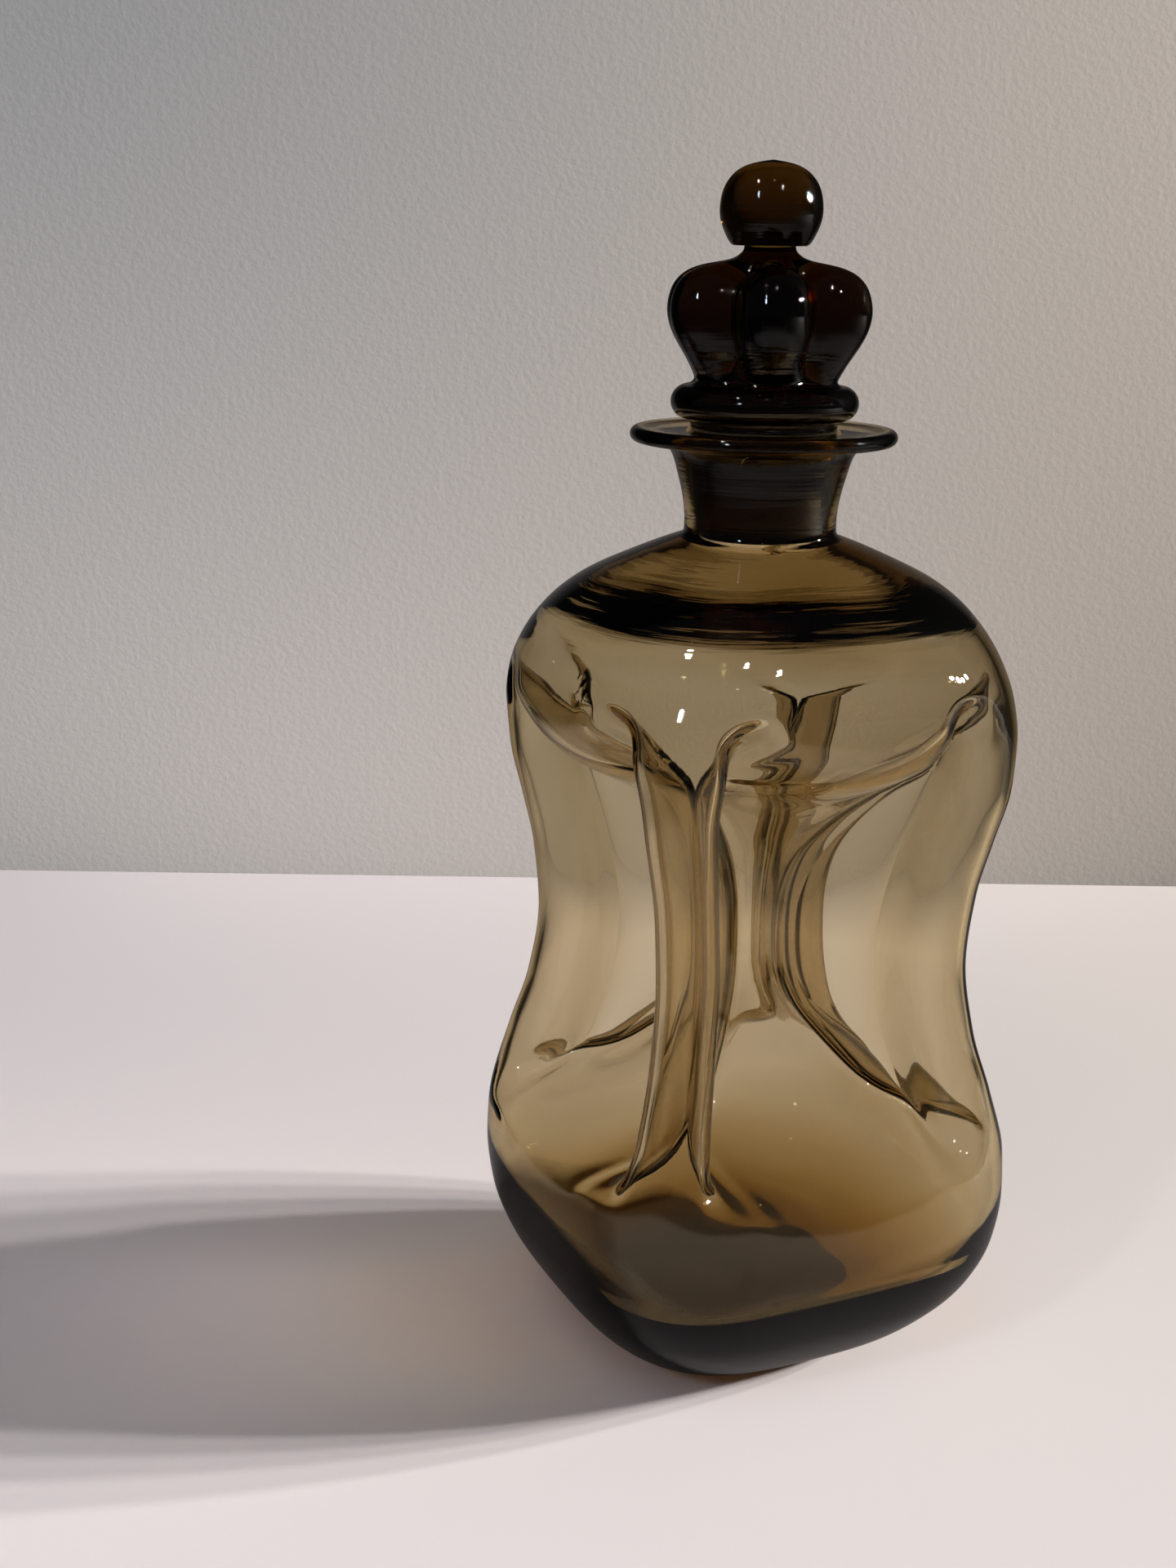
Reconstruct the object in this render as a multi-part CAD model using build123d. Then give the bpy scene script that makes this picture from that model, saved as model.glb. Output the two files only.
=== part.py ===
from build123d import *
import math
import os

from scipy.interpolate import CubicSpline, PchipInterpolator

os.makedirs("parts", exist_ok=True)

# Kuttrolf: a square blown decanter whose four faces are pressed in until they meet.
# Millimetres, +Z up, origin at the middle of the foot, faces square to X and Y.

# Heights: each stretch of the bottle stands on the one below it
BULGE_HEIGHT = 45.0
BULGE_TO_WAIST_RISE = 64.0
WAIST_TO_SHOULDER_RISE = 57.0
SHOULDER_TO_ROOT_RISE = 47.0
NECK_RISE = 25.1
WAIST_HEIGHT = BULGE_HEIGHT + BULGE_TO_WAIST_RISE
SHOULDER_HEIGHT = WAIST_HEIGHT + WAIST_TO_SHOULDER_RISE
NECK_ROOT_HEIGHT = SHOULDER_HEIGHT + SHOULDER_TO_ROOT_RISE
LIP_HEIGHT = NECK_ROOT_HEIGHT + NECK_RISE

# Half diagonals of the blown body, corner to axis
FOOT_REACH = 33.0
BULGE_REACH = 70.6
WAIST_REACH = 57.4
SHOULDER_REACH = 66.2

# The pressed-in faces, which start level with the bulge and end above the shoulder
PRESS_PAST_SHOULDER = 7.0
PRESS_BELOW = BULGE_TO_WAIST_RISE
PRESS_ABOVE = WAIST_TO_SHOULDER_RISE + PRESS_PAST_SHOULDER
PRESS_END_ABOVE = 1.12
PRESS_END_BELOW = 0.93
WEB_END_ABOVE = 0.74
WEB_END_BELOW = 0.68
THROAT_RADIUS = 9.4
MOUTH_RADIUS = 57.0
WEB_THICKNESS = 3.4
TUBE_INNER_REACH = 37.0
TUBE_HALF_WIDTH = 7.2
MOUTH_SPREAD = 9.0

# Glass
WALL = 2.4
FLOOR_THICKNESS = 6.5
CAVITY_TOP_DROP = 3.4
LEAST_LEAN = 0.36

# Neck and lip
NECK_RADIUS = 18.55
NECK_FLARE = 3.5
LIP_RADIUS = 32.4
LIP_THICKNESS = 3.6
LIP_DISH = 0.9
MOUTH_LAND = 1.2

# Stopper: ground peg, collar, lobed crown, stem and ball
PEG_TOP_RADIUS = 17.9
PEG_TAPER = 2.6
PEG_LENGTH = 31.0
PEG_CLEARANCE = 0.05
COLLAR_GAP = 1.9
COLLAR_RADIUS = 22.7
COLLAR_HEIGHT = 8.2
CROWN_FOOT_RADIUS = 18.0
CROWN_REACH = 26.2
CROWN_HEIGHT = 29.5
CROWN_LOBES = 6
CROWN_TURN = 4.0
GROOVE_SHARE = 0.19
STEM_RADIUS = 6.1
STEM_HEIGHT = 3.4
BALL_RADIUS = 12.2
BALL_HEIGHT = 20.8

# Shares of the way from one station of the body to the next: (height, reach)
FOOT_TO_BULGE = [(0.03, 0.13), (0.1, 0.31), (0.25, 0.56), (0.5, 0.83), (0.75, 0.96), (1, 1)]
BULGE_TO_WAIST = [(0.2, 0.05), (0.45, 0.36), (0.7, 0.77), (1, 1)]
WAIST_TO_SHOULDER = [(0.3, 0.17), (0.55, 0.55), (0.8, 0.94), (1, 1)]
SHOULDER_TO_NECK = [
    (0.2, 0.035), (0.4, 0.12), (0.6, 0.27), (0.75, 0.46), (0.87, 0.71), (0.95, 0.9), (1, 1),
]

# How the press opens with height, as shares of its height above or below the waist
# and of the way from the throat to its mouth
PRESS_OPENING = [
    (-1.0, 1.0), (-0.89, 0.905), (-0.78, 0.82), (-0.656, 0.61), (-0.47, 0.3), (-0.28, 0.076),
    (-0.125, 0.008), (0.0, 0.0), (0.125, 0.006), (0.344, 0.08), (0.53, 0.27), (0.67, 0.51),
    (0.78, 0.74), (0.89, 0.89), (1.0, 0.98), (1.12, 1.08),
]
TUBE_REACH_GAIN = [
    (-1, 15.5), (-0.78, 13.5), (-0.61, 8.5), (-0.3, 2.2), (0, 0), (0.31, 3), (0.625, 8.5), (0.78, 10.5),
    (1, 13.5), (1.12, 15.1),
]
TUBE_WIDTH_GAIN = [
    (-1, 16), (-0.89, 11), (-0.78, 6.2), (-0.61, 2.2), (-0.3, 0.3), (0, 0), (0.31, 0), (0.58, 0.6),
    (0.7, 1.2), (0.8, 2.2), (0.9, 3.6), (1.12, 7.4),
]

# Directions of the section's control points, from a corner to the middle of a face,
# and the share of the press's height up to which each stays fully pressed in
SECTION_ANGLES = [0, 5, 10, 15, 19, 23, 28, 36, 45]
FULL_SHARES_ABOVE = [0.6, 0.62, 0.7, 0.8, 0.78, 0.74, 0.7, 0.64, 0.58]
FULL_SHARES_BELOW = [0.52, 0.52, 0.54, 0.6, 0.64, 0.62, 0.58, 0.54, 0.5]
PARTED_ABOVE = 1.0
PARTED_BELOW = 0.84
SECTORS = 4


def body_reach():
    """Half diagonal of the body against height."""
    heights = [0.0]
    reaches = [FOOT_REACH]
    legs = (
        (FOOT_TO_BULGE, BULGE_HEIGHT, BULGE_REACH),
        (BULGE_TO_WAIST, WAIST_HEIGHT, WAIST_REACH),
        (WAIST_TO_SHOULDER, SHOULDER_HEIGHT, SHOULDER_REACH),
        (SHOULDER_TO_NECK, NECK_ROOT_HEIGHT, NECK_RADIUS),
    )
    for shares, height, reach in legs:
        low, start = heights[-1], reaches[-1]
        for up, out in shares:
            heights.append(low + up * (height - low))
            reaches.append(start + out * (reach - start))
    return PchipInterpolator(heights, reaches)


def squareness():
    """Power of the rounded square against height: 2 is a circle."""
    rise = NECK_ROOT_HEIGHT - SHOULDER_HEIGHT
    stations = {
        0.0: 3.0,
        0.45 * BULGE_HEIGHT: 3.3,
        BULGE_HEIGHT: 3.6,
        WAIST_HEIGHT: 3.6,
        SHOULDER_HEIGHT: 3.3,
        SHOULDER_HEIGHT + 0.45 * rise: 2.5,
        SHOULDER_HEIGHT + 0.8 * rise: 2.05,
        NECK_ROOT_HEIGHT: 2.0,
    }
    return PchipInterpolator(list(stations), list(stations.values()))


REACH = body_reach()
POWER = squareness()
OPENING = CubicSpline([a for a, b in PRESS_OPENING], [b for a, b in PRESS_OPENING])
REACH_GAIN = CubicSpline([a for a, b in TUBE_REACH_GAIN], [b for a, b in TUBE_REACH_GAIN])
WIDTH_GAIN = CubicSpline([a for a, b in TUBE_WIDTH_GAIN], [b for a, b in TUBE_WIDTH_GAIN])


def blown_section(height):
    """Control points of the plain rounded square, along and across a diagonal."""
    power = float(POWER(height))
    half_side = float(REACH(height)) / 2 ** (0.5 - 1 / power)
    points = []
    for angle in SECTION_ANGLES:
        from_face = math.radians(45 - angle)
        size = math.cos(from_face) ** power + math.sin(from_face) ** power
        radius = half_side / size ** (1 / power)
        points.append((radius * math.cos(math.radians(angle)), radius * math.sin(math.radians(angle))))
    return points


def press_share(height):
    """Way from the waist to the press's end above (up to 1) or below (down to -1)."""
    rise = height - WAIST_HEIGHT
    return rise / (PRESS_ABOVE if rise > 0 else PRESS_BELOW)


def pressed_section(height):
    """Control points where the faces are pressed in: corner tube, web and throat."""
    share = press_share(height)
    reach = float(REACH(height))
    throat = THROAT_RADIUS + (MOUTH_RADIUS - THROAT_RADIUS) * float(OPENING(share))
    tube = TUBE_INNER_REACH + float(REACH_GAIN(share))
    half_width = TUBE_HALF_WIDTH + float(WIDTH_GAIN(share))
    web_end = WEB_END_ABOVE if share > 0 else WEB_END_BELOW
    parted = PARTED_ABOVE if share > 0 else PARTED_BELOW
    parting = min(max(abs(share) - web_end, 0.0) / (parted - web_end), 1.0)
    half_web = WEB_THICKNESS / 2 + MOUTH_SPREAD * parting**2
    depth = reach - tube
    web = max(tube - throat, 0.0)
    side = reach - 0.1 * depth
    turn = math.radians(23)
    return [
        ((6 * reach - 2 * side) / 4, 0.0),
        (side, 0.78 * half_width),
        (reach - 0.38 * depth, 1.14 * half_width),
        (reach - 0.72 * depth, 0.9 * half_width),
        (tube + 0.02 * depth, 1.3 * half_web),
        (tube - 0.25 * web - 0.8, half_web),
        (tube - 0.85 * web - 1.6, half_web),
        (1.02 * throat * math.cos(turn), 1.02 * throat * math.sin(turn)),
        (1.01 * throat / math.sqrt(2), 1.01 * throat / math.sqrt(2)),
    ]


def press_depths(share):
    """How far each control point is pressed in, 0 to 1."""
    above = share > 0
    full = FULL_SHARES_ABOVE if above else FULL_SHARES_BELOW
    end = PRESS_END_ABOVE if above else PRESS_END_BELOW
    presses = []
    for start in full:
        fade = min(max((abs(share) - start) / (end - start), 0.0), 1.0)
        presses.append(1 - fade**3 * (10 - 15 * fade + 6 * fade**2))
    return presses


def section(height):
    """Control points of one corner's half section at a height."""
    presses = press_depths(press_share(height))
    blown = blown_section(height)
    if max(presses) <= 0:
        return blown
    pressed = pressed_section(height)
    return [
        (b[0] + press * (p[0] - b[0]), b[1] + press * (p[1] - b[1]))
        for b, p, press in zip(blown, pressed, presses)
    ]


def knots(controls):
    """Points that a closed uniform cubic through these control points passes."""
    count = len(controls)
    return [
        tuple((controls[i - 1][k] + 4 * controls[i][k] + controls[(i + 1) % count][k]) / 6 for k in (0, 1))
        for i in range(count)
    ]


def outline(height):
    """Closed outline of the body's outside, starting at the middle of the +X face."""
    controls = []
    half = section(height)
    for corner in range(SECTORS):
        angle = math.radians(45 + 90 * corner)
        along, across = math.cos(angle), math.sin(angle)
        mirrored = [(r, -h) for r, h in half[-2:0:-1]]
        for r, h in mirrored + half:
            controls.append((r * along - h * across, r * across + h * along))
    return knots(controls)


def inner_curve(height):
    """Inside of the glass behind the +X face, from one diagonal to past the other."""
    outer = outline(height)
    step = 0.25
    above = outline(min(height + step, NECK_ROOT_HEIGHT))
    below = outline(max(height - step, 0.0))
    rise = min(height + step, NECK_ROOT_HEIGHT) - max(height - step, 0.0)
    count = len(outer)
    middle = count - 1
    reach = count // (2 * SECTORS) + 2
    points = []
    for i in range(middle - reach, middle + reach + 1):
        here, after, before = (outer[j % count] for j in (i, i + 1, i - 1))
        along = (after[0] - before[0], after[1] - before[1])
        length = math.hypot(*along)
        normal = (along[1] / length, -along[0] / length)
        climb = [(above[i % count][k] - below[i % count][k]) / rise for k in (0, 1)]
        slope = climb[0] * normal[0] + climb[1] * normal[1]
        lean = max(1 / math.hypot(1, slope), LEAST_LEAN)
        points.append(tuple(here[k] - WALL / lean * normal[k] for k in (0, 1)))
    return points


def outside_block(height):
    """Closed wire round everything outside the inner wall of the +X sector."""
    points = inner_curve(height)
    far = 2.2 * BULGE_REACH
    marks = [i / (len(points) - 1) for i in range(len(points))]
    spots = [Vector(x, y, height) for x, y in points]
    low = Vector(far, -far * 1.3, height)
    high = Vector(far, far * 1.3, height)
    curve = Edge.make_spline(spots, parameters=marks)
    sides = [(spots[-1], high), (high, low), (low, spots[0])]
    return Wire([curve] + [Edge.make_line(start, end) for start, end in sides])


def station_heights(low, high):
    """Section heights: close together where the faces turn in and at the ends."""
    marks = {low, high}
    body = (
        0.0, 1.4, 4.5, 9.0, 16.0, 26.0, 36.0, 45.0, 49.5, 53.0, 56.5, 60.0, 64.0, 68.0, 73.0, 80.0,
        90.0, 100.0, 109.0, 118.0, 128.0, 138.0, 146.0, 151.0, 155.0, 159.0, 163.0, 167.0, 171.0,
        175.0, 180.0, 187.0, 193.0, 198.0, 202.5, 206.5, 210.0, 213.0,
    )
    for mark in body:
        height = mark * NECK_ROOT_HEIGHT / body[-1]
        if low + 1.0 < height < high - 1.0:
            marks.add(height)
    return sorted(marks)


def closed_wire(points, height):
    marks = [i / len(points) for i in range(len(points) + 1)]
    spots = [Vector(x, y, height) for x, y in points]
    return Wire([Edge.make_spline(spots, periodic=True, parameters=marks)])


def blown_body():
    wires = [closed_wire(outline(height), height) for height in station_heights(0.0, NECK_ROOT_HEIGHT)]
    return Solid.make_loft(wires)


def cavity():
    """Inside of the body: two chambers, the throat and four corner tubes."""
    low = FLOOR_THICKNESS
    high = NECK_ROOT_HEIGHT - CAVITY_TOP_DROP
    blocks = Solid.make_loft([outside_block(height) for height in station_heights(low, high)])
    far = 1.6 * BULGE_REACH
    corners = [(0, 0, low), (far, -far, low), (far, far, low)]
    wedge = Solid.extrude(Face(Wire.make_polygon(corners)), Vector(0, 0, high - low))
    sector = wedge.cut(blocks).solids()
    sector = sorted(sector, key=lambda s: -s.volume)[0]
    rising = Plane(origin=(0, 0, 0), x_dir=(0, 0, 1), z_dir=(1, -1, 0))
    falling = Plane(origin=(0, 0, 0), x_dir=(0, 0, 1), z_dir=(1, 1, 0))
    second = sector.mirror(rising)
    fourth = sector.mirror(falling)
    third = second.mirror(falling)
    return sector.fuse(second, third, fourth)


def turned(points):
    """Solid of revolution about Z from (radius, height) corners, splines given as lists."""
    edges = []
    last = None
    for step in points:
        if isinstance(step, list):
            spots = [Vector(r, 0, z) for r, z in [last] + step]
            edges.append(Edge.make_spline(spots))
            last = step[-1]
        else:
            if last is not None:
                edges.append(Edge.make_line(Vector(last[0], 0, last[1]), Vector(step[0], 0, step[1])))
            last = step
    start = points[0]
    edges.append(Edge.make_line(Vector(last[0], 0, last[1]), Vector(start[0], 0, start[1])))
    return Solid.revolve(Face(Wire(edges)), 360, Axis.Z)


def neck():
    """Flared neck and flat lip as a solid, before it is bored."""
    root = NECK_ROOT_HEIGHT
    under = LIP_HEIGHT - LIP_THICKNESS
    flare = NECK_RADIUS + NECK_FLARE
    edge = LIP_THICKNESS / 2
    rise = under - root
    rim = LIP_RADIUS - edge
    spread = rim - flare
    middle = LIP_HEIGHT - edge
    around = [
        (rim + edge * math.sin(math.radians(a)), middle - edge * math.cos(math.radians(a)))
        for a in (30, 60, 90, 120, 150, 180)
    ]
    return turned([
        (0, root - 4.0),
        (NECK_RADIUS + 3.6, root - 4.0),
        [
            (NECK_RADIUS + 1.4, root - 2.2),
            (NECK_RADIUS + 0.25, root),
            (NECK_RADIUS + 0.3, root + 0.2 * rise),
            (NECK_RADIUS + 0.5 * NECK_FLARE, root + 0.55 * rise),
            (flare, root + 0.85 * rise),
            (flare + 0.26 * spread, under - 0.6),
            (flare + 0.54 * spread, under),
        ],
        (rim, under),
        around,
        [
            (PEG_TOP_RADIUS + 0.6 * (rim - PEG_TOP_RADIUS), LIP_HEIGHT - 0.6 * LIP_DISH),
            (PEG_TOP_RADIUS + MOUTH_LAND, LIP_HEIGHT - LIP_DISH),
        ],
        (0, LIP_HEIGHT - LIP_DISH),
    ])


def peg_radius(height):
    """Ground taper, shared by the stopper's peg and the neck's bore."""
    top = LIP_HEIGHT
    return PEG_TOP_RADIUS - PEG_TAPER * (top - height) / PEG_LENGTH


def bore():
    top = LIP_HEIGHT + 1.0
    low = NECK_ROOT_HEIGHT - CAVITY_TOP_DROP - 1.5
    return turned([
        (0, low),
        (peg_radius(low) + PEG_CLEARANCE, low),
        (peg_radius(top) + PEG_CLEARANCE, top),
        (0, top),
    ])


def bottle():
    """The bottle's glass in two stretches: body, and neck with its lip."""
    glass = (blown_body().fuse(neck())).cut(cavity(), bore())
    root = Plane.XY.offset(NECK_ROOT_HEIGHT)
    return glass.split(root, keep=Keep.BOTTOM), glass.split(root, keep=Keep.TOP)


def crown_profile():
    """(share of height, share of the way from foot radius to full reach)."""
    return CubicSpline(
        [0.0, 0.12, 0.28, 0.44, 0.56, 0.66, 0.78, 0.88, 0.94],
        [0.0, 0.2, 0.62, 0.96, 1.0, 0.95, 0.72, 0.36, -0.08],
    )


def crown_section(share, foot, profile):
    reach = CROWN_FOOT_RADIUS + (CROWN_REACH - CROWN_FOOT_RADIUS) * float(profile(share))
    groove = GROOVE_SHARE * min(1.0, 0.25 + 2.2 * share)
    rounding = 0.16
    count = 12 * CROWN_LOBES
    points = []
    for i in range(count):
        angle = 2 * math.pi * i / count
        wave = math.cos(CROWN_LOBES / 2 * (angle - math.radians(CROWN_TURN)))
        bump = (math.hypot(wave, rounding) - rounding) / (math.hypot(1, rounding) - rounding)
        radius = reach * (1 - groove * (1 - bump))
        points.append((radius * math.cos(angle), radius * math.sin(angle)))
    return closed_wire(points, foot + share * CROWN_HEIGHT)


def crown(foot):
    profile = crown_profile()
    shares = (0.0, 0.06, 0.12, 0.2, 0.28, 0.36, 0.44, 0.5, 0.56, 0.61, 0.66, 0.72, 0.78, 0.83, 0.88, 0.92)
    sections = [crown_section(share, foot, profile) for share in shares]
    return Solid.make_loft(sections)


def stopper():
    peg_top = LIP_HEIGHT + COLLAR_GAP
    peg_end = LIP_HEIGHT - PEG_LENGTH
    collar_top = peg_top + COLLAR_HEIGHT
    foot = collar_top + 0.4
    crown_top = foot + CROWN_HEIGHT
    ball_low = crown_top + STEM_HEIGHT - 2.2
    ball_top = ball_low + BALL_HEIGHT
    bulge = COLLAR_HEIGHT / 2
    ring = COLLAR_RADIUS - bulge
    around = [
        (ring + bulge * math.sin(math.radians(a)), peg_top + bulge - bulge * math.cos(math.radians(a)))
        for a in (30, 60, 90, 120, 150)
    ]
    collar_inner = CROWN_FOOT_RADIUS - 0.6
    body = turned([
        (0, peg_end),
        [
            (0.55 * peg_radius(peg_end), peg_end + 0.5),
            (peg_radius(peg_end) - 1.2, peg_end + 2.0),
            (peg_radius(peg_end + 3.4), peg_end + 3.4),
        ],
        (peg_radius(LIP_HEIGHT), LIP_HEIGHT),
        (peg_radius(LIP_HEIGHT), peg_top + 0.4),
        (ring, peg_top),
        around,
        [(collar_inner + 1.2, collar_top - 0.1), (collar_inner, collar_top + 0.5)],
        (collar_inner, foot + 1.2),
        (0, foot + 1.2),
    ])
    knob_low = foot + 0.85 * CROWN_HEIGHT
    knob = turned([
        (0, knob_low),
        (0.42 * CROWN_REACH, knob_low),
        [
            (0.385 * CROWN_REACH, foot + 0.925 * CROWN_HEIGHT),
            (STEM_RADIUS + 0.7, crown_top - 0.6),
            (STEM_RADIUS, crown_top + 0.45 * STEM_HEIGHT),
            (STEM_RADIUS + 0.9, ball_low + 2.4),
            (0.86 * BALL_RADIUS, ball_low + 0.26 * BALL_HEIGHT),
            (BALL_RADIUS, ball_low + 0.52 * BALL_HEIGHT),
            (0.84 * BALL_RADIUS, ball_low + 0.81 * BALL_HEIGHT),
            (0.45 * BALL_RADIUS, ball_top - 1.1),
            (0, ball_top),
        ],
    ])
    return body.fuse(crown(foot), knob)


def export(shape, name):
    part = Compound(children=[shape]) if len(shape.solids()) != 1 else shape.solids()[0]
    export_step(part, f"parts/{name}.step")


body, neck_and_lip = bottle()
export(body, "body")
export(neck_and_lip, "neck")
export(stopper(), "stopper")
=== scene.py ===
import math

import bmesh
import bpy
import numpy as np
from mathutils import Matrix, Vector


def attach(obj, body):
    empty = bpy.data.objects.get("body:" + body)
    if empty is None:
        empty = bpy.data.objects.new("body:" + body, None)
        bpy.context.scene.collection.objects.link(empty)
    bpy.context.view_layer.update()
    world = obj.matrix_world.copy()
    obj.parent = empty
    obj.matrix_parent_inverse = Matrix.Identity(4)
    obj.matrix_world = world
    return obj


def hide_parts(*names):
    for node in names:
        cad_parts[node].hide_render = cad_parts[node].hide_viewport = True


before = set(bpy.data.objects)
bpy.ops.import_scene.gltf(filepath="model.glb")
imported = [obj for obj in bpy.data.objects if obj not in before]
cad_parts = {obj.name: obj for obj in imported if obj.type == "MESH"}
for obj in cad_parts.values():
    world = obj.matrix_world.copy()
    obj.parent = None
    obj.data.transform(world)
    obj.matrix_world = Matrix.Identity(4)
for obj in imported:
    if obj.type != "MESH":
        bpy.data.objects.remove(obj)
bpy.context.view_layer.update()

MM = 0.001

# Heights and half diagonals of the blown body, millimetres
BULGE_HEIGHT = 45.0
WAIST_HEIGHT = 109.0
SHOULDER_HEIGHT = 166.0
NECK_ROOT_HEIGHT = 213.0
FOOT_REACH = 33.0
BULGE_REACH = 70.6
WAIST_REACH = 57.4
SHOULDER_REACH = 66.2
NECK_RADIUS = 18.55

# Pressed-in faces
PRESS_HALF_HEIGHT = 64.0
FULL_SHARES_ABOVE = np.array([0.62, 0.64, 0.76, 0.94, 0.94, 0.76, 0.64, 0.58, 0.54])
FULL_SHARES_BELOW = np.array([0.5, 0.5, 0.54, 0.62, 0.62, 0.56, 0.52, 0.48, 0.46])
PRESS_ENDS_ABOVE = np.array([1.05, 1.05, 1.08, 1.15, 1.14, 1.06, 1.05, 1.1, 1.12])
PRESS_ENDS_BELOW = np.array([0.92, 0.9, 0.86, 0.84, 0.83, 0.85, 0.9, 0.95, 1.0])
WEB_END_ABOVE = 0.74
WEB_END_BELOW = 0.68
PARTED_ABOVE = 1.0
PARTED_BELOW = 0.84
THROAT_RADIUS = 9.4
MOUTH_RADIUS = 57.0
WEB_THICKNESS = 3.4
TUBE_INNER_REACH = 37.0
TUBE_HALF_WIDTH = 7.2
MOUTH_SPREAD = 9.0

# Glass thickness
WALL = 2.2
FLOOR_THICKNESS = 16.0
ROOT_EXTRA = 4.2
ROOT_FROM = 191.0
ROOT_TO = 207.0
BASE_EXTRA = 5.5
BASE_TO = 48.0
BOWL_TOP = 34.0
BOWL_INSET = 15.0
FLOOR_DOME = 0.9
KICK = 1.3

# Waves of the thick glass at the neck's root: size, how many go round the neck, and phase
ROOT_WAVES = ((0.7, 1, 0.4), (0.5, 2, 1.9), (0.35, 5, 0.6))
ROOT_WAVE_SIZE = 1.1
ROOT_WAVE_CLIMB = 0.5
ROOT_WAVE_FROM = 184
ROOT_WAVE_TO = 207

# Rows of points: shares of the foot and of the inner floor, then heights of the body as from, to and step
FOOT_SHARES = (0.0, 0.12, 0.26, 0.4, 0.54, 0.67, 0.78, 0.87, 0.94)
FLOOR_SHARES = (0.94, 0.85, 0.74, 0.62, 0.5, 0.38, 0.26, 0.13, 0.0)
FIRST_ROWS = (0.0, 0.25, 0.6, 1.1, 1.8)
ROW_SPANS = ((44, 62, 0.6), (62, 158, 1.0), (158, 184, 0.6), (184, 200, 1.1), (200, 206, 0.8))
ROUND_FROM = 196
RING_TOP = 216.0
SLOPE_STEP = 0.25
OUTER_BLEND = 1.6
INNER_BLEND = 1.8

# Neck, lip and stopper
LIP_RADIUS = 32.4
LIP_THICKNESS = 3.6
LIP_HEIGHT = 238.1
LIP_DISH = 0.9
PEG_TOP_RADIUS = 17.9
PEG_TAPER = 2.6
PEG_LENGTH = 31.0
PEG_CLEARANCE = 0.05
COLLAR_GAP = 1.9
COLLAR_RADIUS = 22.7
COLLAR_HEIGHT = 8.2
CROWN_FOOT_RADIUS = 18.0
CROWN_REACH = 26.2
CROWN_HEIGHT = 29.5
CROWN_LOBES = 6
CROWN_TURN = 5.5
GROOVE_SHARE = 0.26
GROOVE_ROUNDING = 0.07
STEM_RADIUS = 6.1
BALL_RADIUS = 12.2
TOP_HEIGHT = 300.0
STOPPER_SECTORS = 216

# Outline of the crown, radius against share of its height: shares of the way out from its foot,
# shares of the way back from its reach, and radii
CROWN_SIDE = ((0.05, 0.05), (0.3, 0.16), (0.62, 0.29), (0.88, 0.42))
CROWN_SHOULDER = ((0.0, 0.56), (0.05, 0.68), (0.22, 0.79), (0.58, 0.88), (1.15, 0.935))
CROWN_TOP = ((11.6, 0.965), (8.0, 1.0), (STEM_RADIUS + 0.25, 1.045), (STEM_RADIUS, 1.09))

# Grooves of the crown: how fast they deepen, and how they end on its top
GROOVE_RISE = 0.2
GROOVE_LEAST = 0.25
TOP_FROM = 0.6
TOP_INNER_RADIUS = 7.0
TOP_FADE = 8.0
TOP_DROP = 3.0
DROP_FROM = 0.7
DROP_SPAN = 0.25

FOOT_TO_BULGE = [(0.03, 0.13), (0.1, 0.31), (0.25, 0.56), (0.5, 0.83), (0.75, 0.96), (1, 1)]
BULGE_TO_WAIST = [(0.2, 0.05), (0.45, 0.36), (0.7, 0.77), (1, 1)]
WAIST_TO_SHOULDER = [(0.3, 0.17), (0.55, 0.55), (0.8, 0.94), (1, 1)]
SHOULDER_TO_NECK = [
    (0.2, 0.035), (0.4, 0.12), (0.6, 0.27), (0.75, 0.46),
    (0.87, 0.71), (0.95, 0.9), (1, 1.05), (1.06, 1.3),
]
PRESS_OPENING = [
    (-1.0, 1.0), (-0.89, 0.905), (-0.78, 0.82), (-0.656, 0.61), (-0.47, 0.3), (-0.28, 0.076),
    (-0.125, 0.008), (0.0, 0.0), (0.125, 0.006), (0.344, 0.08), (0.53, 0.27), (0.67, 0.51),
    (0.78, 0.74), (0.89, 0.89), (1.0, 0.98),
]
TUBE_REACH_GAIN = [
    (-1, 15.5), (-0.78, 13.5), (-0.61, 8.5), (-0.3, 2.2), (0, 0), (0.31, 3), (0.625, 8.5),
    (0.78, 10.5), (1, 13.5),
]
TUBE_WIDTH_GAIN = [
    (-1.1, 16), (-0.95, 10), (-0.85, 6), (-0.75, 3.6), (-0.61, 1.6), (-0.3, 0.3), (0, 0), (0.31, 0),
    (0.58, 0.8), (0.7, 1.2), (0.8, 2.2), (0.9, 3.6), (1.1, 7),
]
SECTION_ANGLES = np.radians([0, 5, 10, 15, 19, 23, 28, 36, 45])
PER_SPAN = 5
OVERLAP_SPANS = 2


def monotone(xs, ys, at):
    """Cubic through the points that keeps between them."""
    xs, ys = np.asarray(xs, float), np.asarray(ys, float)
    h, d = np.diff(xs), np.diff(ys) / np.diff(xs)
    slope = np.zeros(len(xs))
    same = d[:-1] * d[1:] > 0
    w1, w2 = 2 * h[1:] + h[:-1], h[1:] + 2 * h[:-1]
    with np.errstate(divide="ignore", invalid="ignore"):
        mean = (w1 + w2) / (w1 / d[:-1] + w2 / d[1:])
    slope[1:-1][same] = mean[same]
    slope[0], slope[-1] = d[0], d[-1]
    i = np.clip(np.searchsorted(xs, at) - 1, 0, len(h) - 1)
    t = (at - xs[i]) / h[i]
    return (
        ys[i] * (1 + 2 * t) * (1 - t) ** 2
        + ys[i + 1] * t * t * (3 - 2 * t)
        + slope[i] * h[i] * t * (1 - t) ** 2
        + slope[i + 1] * h[i] * t * t * (t - 1)
    )


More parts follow.
